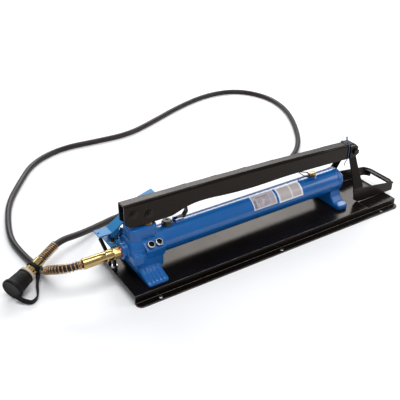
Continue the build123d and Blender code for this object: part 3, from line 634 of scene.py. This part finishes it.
def make_hose():
    """The hose, as one smooth spline."""
    curve = bpy.data.curves.new("pressure_hose", "CURVE")
    curve.dimensions = "3D"
    curve.resolution_u = 24
    spline = curve.splines.new("NURBS")
    points = hose_points()
    spline.points.add(len(points) - 1)
    for target, point in zip(spline.points, points):
        target.co = (*point, 1)
    spline.order_u = 3
    spline.use_endpoint_u = True
    obj = placed("pressure_hose", curve)
    line = spline_line(obj)
    curve.bevel_depth = HOSE_R
    curve.bevel_resolution = 6
    curve.use_fill_caps = True
    finish_piece(obj, "hose_rubber", "frame", ("hose",))
    return obj, line


def make_hose_guard(line):
    """The wire guard, close-wound at the ferrule and opening out towards its far end."""
    reach = [p for p in line if p.x <= FERRULE_END.x and p.y <= GUARD_SIDE]

    def pitch(share):
        return (2.0 + 4.4 * min(1.0, max(0.0, (share - 0.04) / 0.05)) + 15.0 * share ** 3) * MM

    points = coil_points(reach, 8.7 * MM, pitch, 22)
    return wire_piece("hose_guard_coil", points, 0.75 * MM, "coil", "frame", ("hose_guard",),
                      smooth=False)


def make_coupler_guard():
    """The evenly wound guard that holds the hose at the coupler."""
    a = COUPLER_CAP + COUPLER_DIR * 0.0892
    b = COUPLER_CAP + COUPLER_DIR * (GUARD_END - 0.0014)
    points = coil_points([a, b], 8.9 * MM, lambda share: 4.9 * MM, 22)
    return wire_piece("coupler_guard_coil", points, 0.8 * MM, "coil", "frame", ("coupler_guard",),
                      smooth=False)


def make_ferrule():
    """The crimped ferrule at the pump, with its rolled marks."""
    pairs = [(0, 3), (0, 9.6), (0.6, 10.4), (3.4, 10.5), (4, 11.1), (11.8, 11.1), (12.4, 10.5), (14, 10.1),
             (15, 10.1), (16, 10.5)]
    for s in (26, 44):
        pairs += [(s, 10.5), (s + 0.4, 10.25), (s + 1.2, 10.25), (s + 1.6, 10.5)]
    pairs += [(59.0, 10.5), (60.0, 10.2), (60.5, 9.6), (60.5, 7.2), (46, 7.1), (46, 3)]
    bm = turned(profile_mm(*pairs), FERRULE_START, Vector((-1, 0, 0)), 72)
    return mesh_piece("pump_ferrule", bm, "brass", "frame", ("hose_ferrule",), 30)


def make_adapter():
    """The chamfered hexagon adapter between the head and the ferrule."""
    bm = bmesh.new()
    flats = 11.0 * MM
    corner = flats / math.cos(math.pi / 6)
    sides, rings = 72, []
    for x, limit in ((-330.1, 10.9), (-331.3, 12.6), (-343.6, 12.6), (-344.9, 10.9)):
        ring = []
        for i in range(sides):
            angle = 2 * math.pi * i / sides
            share = abs(((angle + math.pi / 6) % (math.pi / 3)) - math.pi / 6)
            radius = min(flats / math.cos(share), limit * MM, corner)
            ring.append(bm.verts.new((x * MM, radius * math.cos(angle),
                                      TUBE_Z + radius * math.sin(angle))))
        rings.append(ring)
    join_rings(bm, rings)
    return mesh_piece("outlet_hexagon", bm, "brass", "frame", ("outlet_adapter",), 12)


def make_coupler():
    """The coupler's neck, ferrule and cream collar, and the hose's dark end in the guard."""
    neck = profile_mm((12, 4), (12, 8.4), (12.8, 9), (50, 9), (50, 10), (52.4, 10), (53, 10.9), (53.6, 11.4),
                      (56.2, 11.4), (56.6, 10.7), (57.6, 10.7), (58, 11.4), (60.4, 11.4), (61, 10.9),
                      (61.4, 10), (70, 10), (70, 4))
    body = mesh_piece("coupler_neck", turned(neck, COUPLER_CAP, COUPLER_DIR), "brass", "frame",
                      ("coupler_body",), 30)
    sleeve = profile_mm((70, 4), (70, 9.9), (70.8, 10.5), (86.9, 10.5), (88, 9.8), (88, 4))
    tail = mesh_piece("coupler_sleeve", turned(sleeve, COUPLER_CAP, COUPLER_DIR), "brass", "frame",
                      ("coupler_ferrule",), 30)
    inner = profile_mm((87.9, 4), (87.9, 6.9), (125.9, 6.9), (125.9, 4))
    lining = mesh_piece("coupler_lining", turned(inner, COUPLER_CAP, COUPLER_DIR), "hose_rubber", "frame",
                        (), 30)
    bm = turned(profile_mm((43.5, 9.2), (43.5, 15.4), (44.2, 16.3), (45.4, 16.5), (48.2, 16.5), (49.3, 15.9),
                           (49.9, 14.4), (49.9, 9.2), (43.5, 9.2)), COUPLER_CAP, COUPLER_DIR, 96)
    collar = mesh_piece("coupler_ring", bm, "cream_plastic", "coupler_collar", ("coupler_collar",), 35)
    return body, tail, lining, collar


def make_cap():
    """The dust cap: a dished face, a rolled lip and a tapered skirt."""
    pairs = [(1.2, 0.0), (1.1, 16.0), (0.6, 17.6), (0.1, 18.8), (0.0, 20.2), (0.7, 21.3), (2.2, 21.9),
             (5.0, 21.95), (7.4, 21.5), (8.8, 20.6), (9.6, 19.5), (11.0, 19.1), (20, 18.4), (28, 17.7),
             (34, 17.1), (36.4, 16.9), (37.2, 16.4), (38.2, 16.4), (39, 16.9), (42.2, 16.9), (43.1, 16.2),
             (43.2, 14.6), (43.2, 9.3), (6, 9.3), (6, 0.0)]
    bm = turned(profile_mm(*pairs), COUPLER_CAP, COUPLER_DIR, 80)
    return mesh_piece("dust_cap_body", bm, "black_rubber", "dust_cap", ("dust_cap",), 50)


def make_strap():
    """The cap's strap: a loop on the neck and a flat band back to the lip."""
    grip = turned(profile_mm((62.6, 10.1), (62.6, 13.0), (63.2, 13.4), (68.8, 13.4), (69.4, 13.0),
                             (69.4, 10.1), (62.6, 10.1)), COUPLER_CAP, COUPLER_DIR)
    loop = mesh_piece("strap_loop", grip, "black_rubber", "frame", ("cap_strap",), 50)
    route = [mm(-466.5, 88.5, 22.0), mm(-468.1, 84.0, 16.0), mm(-472.0, 76.0, 11.5), mm(-477.6, 64.0, 8.0),
             mm(-483.1, 46.3, 6.2), mm(-490.0, 33.0, 5.6), mm(-501.7, 26.5, 5.8), mm(-511.0, 32.5, 7.4),
             mm(-517.5, 40.5, 9.6), mm(-521.5, 47.5, 12.5)]
    line = catmull(route)
    across = []
    for i in range(len(line)):
        share = i / (len(line) - 1)
        lean = min(1.0, abs(share - 0.55) * 1.6)
        across.append(COUPLER_DIR * lean + Vector((0.15, -0.1, 0.95)) * (1 - lean))
    bm = band(line, across, 8.8 * MM, 3.4 * MM)
    mesh = bpy.data.meshes.new("strap_band")
    bmesh.ops.recalc_face_normals(bm, faces=bm.faces)
    for face in bm.faces:
        face.smooth = True
    bm.to_mesh(mesh)
    bm.free()
    obj = placed("strap_band", mesh)
    mesh.materials.append(looks()["black_rubber"])
    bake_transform(obj)
    return loop, obj


# ---------------------------------------------------------------- head, tube and plugs
def make_castings():
    """The head and the rear cap, with the soft edges of sand castings."""
    softened("pump_head", "cast_head", "cast_blue", "frame", 0.00125, 5)
    softened("rear_cap", "cast_rear_cap", "cast_blue", "frame", 0.0014, 5)


def make_valve_plugs():
    """The bright rims of the two valve plugs, and their hexagon sockets, near black as painted shade in the
    recess.
    """
    tilt = math.radians(32.0)
    out = Vector((0, -math.sin(tilt), math.cos(tilt)))
    for index, x in enumerate((-278.0, -261.0)):
        face = mm(x, -31.0, 84.8)
        rim = profile_mm((-8.8, 0), (-8.8, 6.4), (0, 6.4), (0, 7.2), (0.5, 7.5), (5.4, 7.5), (6.8, 6.5),
                         (6.9, 5.9), (6.2, 5.3), (2.2, 5.2), (2.2, 0))
        replaced = ("valve_plugs",) if index == 0 else ()
        mesh_piece(f"valve_plug_{index}", turned(rim, face, out, 48), "zinc", "frame", replaced, 35)
        bm = bmesh.new()
        ring = []
        for level, radius in ((5.8, 5.6), (2.3, 4.6)):
            ring.append([bm.verts.new(Vector((math.cos(math.pi * i / 3), math.sin(math.pi * i / 3), 0))
                                      * radius * MM + Vector((0, 0, level * MM))) for i in range(6)])
        for i in range(6):
            j = (i + 1) % 6
            bm.faces.new((ring[0][i], ring[0][j], ring[1][j], ring[1][i]))
        bm.faces.new(ring[1])
        turn = Vector((0, 0, 1)).rotation_difference(out).to_matrix().to_4x4()
        bmesh.ops.transform(bm, matrix=Matrix.Translation(face) @ turn, verts=bm.verts)
        # The socket's near-black finish is painted shade in the recess.
        mesh_piece(f"valve_socket_{index}", bm, "socket", "frame", (), 20)


def make_filler():
    """The knurled filler plug."""
    box_low, box_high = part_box("filler_plug")
    centre = Vector(((box_low.x + box_high.x) / 2, 0, 0))
    low, high = box_low.z, box_high.z
    pairs = [(low, 0), (low, 0.0055), (low + 0.001, 0.0062), (high - 0.006, 0.0062), (high - 0.006, 0.0082),
             (high - 0.0054, 0.0089), (high - 0.0016, 0.0089), (high - 0.0004, 0.0078), (high, 0.0066),
             (high, 0.003), (high - 0.0006, 0.0026), (high - 0.0006, 0)]
    bm = turned(pairs, centre, Vector((0, 0, 1)), 96)
    for vert in bm.verts:
        flat = Vector((vert.co.x - centre.x, vert.co.y, 0))
        if flat.length > 0.0085:
            tooth = 0.5 + 0.5 * math.cos(math.atan2(flat.y, flat.x) * 24)
            vert.co -= flat.normalized() * 0.0007 * tooth
    return mesh_piece("filler_knob", bm, "brass", "filler_plug", ("filler_plug",), 25)


def make_vent():
    """The dark vent plug behind the head, with a notched crown."""
    low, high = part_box("vent_plug")
    centre = Vector(((low.x + high.x) / 2, 0, 0))
    top = high.z
    pairs = [(low.z, 0), (low.z, 0.0066), (top - 0.010, 0.0066), (top - 0.0095, 0.0105),
             (top - 0.0088, 0.0113), (top - 0.0044, 0.0113), (top - 0.004, 0.0108), (top - 0.0038, 0.0094),
             (top - 0.0008, 0.0092), (top, 0.0082), (top, 0.0034), (top - 0.0012, 0.003), (top - 0.0012, 0)]
    bm = turned(pairs, centre, Vector((0, 0, 1)), 60)
    for vert in bm.verts:
        flat = Vector((vert.co.x - centre.x, vert.co.y, 0))
        if flat.length > 0.0088 and vert.co.z > top - 0.0042:
            vert.co -= flat.normalized() * 0.0006 * (0.5 + 0.5 * math.cos(math.atan2(flat.y, flat.x) * 15))
    return mesh_piece("vent_cap", bm, "grey_plastic", "frame", ("vent_plug",), 30)


def make_label(node, name, look, low_angle, high_angle):
    """A printed film wrapped round the tube, with its own flat coordinates."""
    low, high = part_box(node)
    bm = bmesh.new()
    uv = bm.loops.layers.uv.new("film")
    columns, rows = 12, 24
    radius = TUBE_R + FILM_GAP
    grid, places = [], {}
    for i in range(columns + 1):
        line = []
        for j in range(rows + 1):
            u, v = i / columns, j / rows
            angle = math.radians(high_angle + (low_angle - high_angle) * v)
            vert = bm.verts.new((low.x + (high.x - low.x) * u, -radius * math.sin(angle),
                                 TUBE_Z + radius * math.cos(angle)))
            places[vert] = (u, v)
            line.append(vert)
        grid.append(line)
    for i in range(columns):
        for j in range(rows):
            face = bm.faces.new((grid[i][j], grid[i + 1][j], grid[i + 1][j + 1], grid[i][j + 1]))
            for loop in face.loops:
                loop[uv].uv = places[loop.vert]
    return mesh_piece(name, bm, look, "frame", (node,), 60)


def make_bail_eyes():
    """The small eyes at the ends of the filler's wire bail."""
    along, out, up = 143.0, 12.4, 99.9
    for side in (-1, 1):
        pairs = profile_mm((0, 0), (0, 1.7), (0.4, 2.1), (1.5, 2.1), (1.9, 1.7), (1.9, 0))
        bm = turned(pairs, mm(along, side * out, up), Vector((0, side, 0)), 24)
        mesh_piece(f"bail_eye_{'left' if side > 0 else 'right'}", bm, "zinc", "frame", (), 35)


# ---------------------------------------------------------------- pedal mechanism
def make_spring():
    """The release pedal's return spring, with a hook at each end."""
    top = Vector((-0.352, RELEASE_MID, 0.0938))
    foot = Vector((-0.334, 0.042, 0.0335))
    way = (top - foot).normalized()
    a, b = foot + way * 0.009, top - way * 0.009
    body = coil_points([a, b], 3.7 * MM, lambda share: 1.95 * MM, 16)
    side = way.orthogonal().normalized()
    lower = [foot + way * 0.001 - side * 0.002, foot + side * 0.0025 + way * 0.001,
             foot + side * 0.003 + way * 0.005]
    upper = [top + side * 0.003 - way * 0.005, top + side * 0.0026 - way * 0.001,
             top - side * 0.002 - way * 0.001]
    curve = wire_piece("return_spring_wire", lower + body + upper, 0.85 * MM, "dark_steel", "frame",
                       ride=False)
    mesh = bpy.data.meshes.new_from_object(curve)
    bpy.data.objects.remove(curve)
    obj = placed("return_spring", mesh)
    if not mesh.materials:
        mesh.materials.append(looks()["dark_steel"])
    for polygon in mesh.polygons:
        polygon.use_smooth = True
    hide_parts("release_spring")
    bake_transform(obj)
    return obj


def make_tie():
    """The covered wire round the lever near the pedal, with its loop and tail."""
    wire = 0.95 * MM
    low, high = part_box("lever_tie")
    x, y = (low.x + high.x) / 2 - 0.0008, 0.0139
    top, bottom = 0.1563, 0.1185
    ring = [Vector((x, y, top)), Vector((x - 0.001, y, (top + bottom) / 2)), Vector((x, y, bottom)),
            Vector((x, 0, bottom - 0.0006)), Vector((x, -y, bottom)),
            Vector((x + 0.0012, -y, (top + bottom) / 2)), Vector((x, -y, top)), Vector((x, 0, top + 0.001))]
    wire_piece("tie_ring", ring, wire, "blue_wire", "lever", ("lever_tie",), closed=True)
    loop = [Vector((x, -0.0105, top + 0.0005)), Vector((x - 0.0018, -0.0075, top + 0.004)),
            Vector((x - 0.0024, -0.004, high.z - 0.005)), Vector((x + 0.0006, -0.002, high.z - 0.0011)),
            Vector((x + 0.0034, -0.002, high.z - 0.005)), Vector((x + 0.0020, -0.005, top + 0.006)),
            Vector((x - 0.0006, -0.007, top + 0.003)), Vector((x - 0.0010, -0.009, top + 0.001))]
    wire_piece("tie_loop", loop, wire, "blue_wire", "lever")
    tail = [Vector((x, -y + 0.001, bottom + 0.0006)), Vector((x - 0.001, -y + 0.004, bottom - 0.004)),
            Vector((x - 0.002, -0.008, bottom - 0.010)), Vector((x - 0.001, -0.008, low.z + 0.0012))]
    wire_piece("tie_tail", tail, wire, "blue_wire", "lever")


def finish_nodes():
    """Gives every node the finish of its slot, apart from the bail's blackened wire."""
    slots = {entry["node"]: entry["material_slot"] for entry in RECORD["subparts"]}
    slots["filler_bail"] = "dark_steel"
    for node, obj in NODES.items():
        obj.data.materials.clear()
        obj.data.materials.append(looks()[slots[node] if slots[node] != "label" else "label_left"])


# ---------------------------------------------------------------- the add-on
class StageSettings(bpy.types.PropertyGroup):
    lens: bpy.props.FloatProperty(name="Lens", description="Focal length in millimetres", default=57.55)
    key: bpy.props.FloatProperty(name="Key", description="Power of the main light in watts", default=34.0)
    sky: bpy.props.FloatProperty(name="Sky", description="Strength of the surrounding light", default=0.42)


class PumpStage(bpy.types.Operator):
    """Camera, lights, surroundings and floor."""
    bl_idname = "foot_pump.stage"
    bl_label = "Stage"

    def execute(self, context):
        settings = context.scene.foot_pump_stage
        make_camera(settings.lens)
        make_world(settings.sky)
        make_light("key", (-0.3, -0.5, 2.3), (0, 0.1, 0), (1.6, 1.2), settings.key)
        make_light("back", (0.9, 2.0, 1.6), (0, 0.1, 0), (3.0, 0.7), settings.key * 1.5)
        make_light("side", (1.9, -1.0, 1.1), (0.1, 0, 0.1), (1.2, 1.2), settings.key * 0.4)
        make_floor()
        context.scene.view_settings.view_transform = "Standard"
        return {"FINISHED"}


class PumpHose(bpy.types.Operator):
    """Hose, guards, ferrules, coupler, dust cap and strap."""
    bl_idname = "foot_pump.hose"
    bl_label = "Hose and coupler"

    def execute(self, context):
        hose, line = make_hose()
        guard = make_hose_guard(line)
        coil = make_coupler_guard()
        coupler = make_coupler()
        cap = make_cap()
        loop, strap = make_strap()
        make_ferrule()
        make_adapter()
        length = sum((b - a).length for a, b in zip(line, line[1:]))
        return {"FINISHED"}


class PumpHead(bpy.types.Operator):
    """Castings, valve plugs, filler, vent, the bail's eyes and labels."""
    bl_idname = "foot_pump.head"
    bl_label = "Head and reservoir"

    def execute(self, context):
        make_castings()
        make_valve_plugs()
        make_filler()
        make_vent()
        make_bail_eyes()
        make_label("label_left", "label_film_left", "label_left", 5, 76)
        make_label("label_right", "label_film_right", "label_right", 5, 80)
        return {"FINISHED"}


class PumpPedals(bpy.types.Operator):
    """Return spring and the wire tie on the lever."""
    bl_idname = "foot_pump.pedals"
    bl_label = "Pedal details"

    def execute(self, context):
        make_spring()
        make_tie()
        return {"FINISHED"}


class PumpFinish(bpy.types.Operator):
    """Paint, metal and rubber on the parts that keep their own shape."""
    bl_idname = "foot_pump.finish"
    bl_label = "Finishes"

    def execute(self, context):
        finish_nodes()
        return {"FINISHED"}


class PumpPanel(bpy.types.Panel):
    bl_idname = "VIEW3D_PT_foot_pump"
    bl_label = "Foot pump"
    bl_space_type = "VIEW_3D"
    bl_region_type = "UI"
    bl_category = "Foot pump"

    def draw(self, context):
        settings = context.scene.foot_pump_stage
        for name in ("lens", "key", "sky"):
            self.layout.prop(settings, name)
        for name in ("stage", "hose", "head", "pedals", "finish"):
            self.layout.operator(f"foot_pump.{name}")


CLASSES = (StageSettings, PumpStage, PumpHose, PumpHead, PumpPedals, PumpFinish, PumpPanel)


def register():
    for item in CLASSES:
        bpy.utils.register_class(item)
    bpy.types.Scene.foot_pump_stage = bpy.props.PointerProperty(type=StageSettings)


def unregister():
    del bpy.types.Scene.foot_pump_stage
    for item in reversed(CLASSES):
        bpy.utils.unregister_class(item)


def main():
    register()
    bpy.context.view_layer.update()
    bpy.ops.foot_pump.stage()
    bpy.ops.foot_pump.hose()
    bpy.ops.foot_pump.head()
    bpy.ops.foot_pump.pedals()
    bpy.ops.foot_pump.finish()


if __name__ == "__main__":
    main()
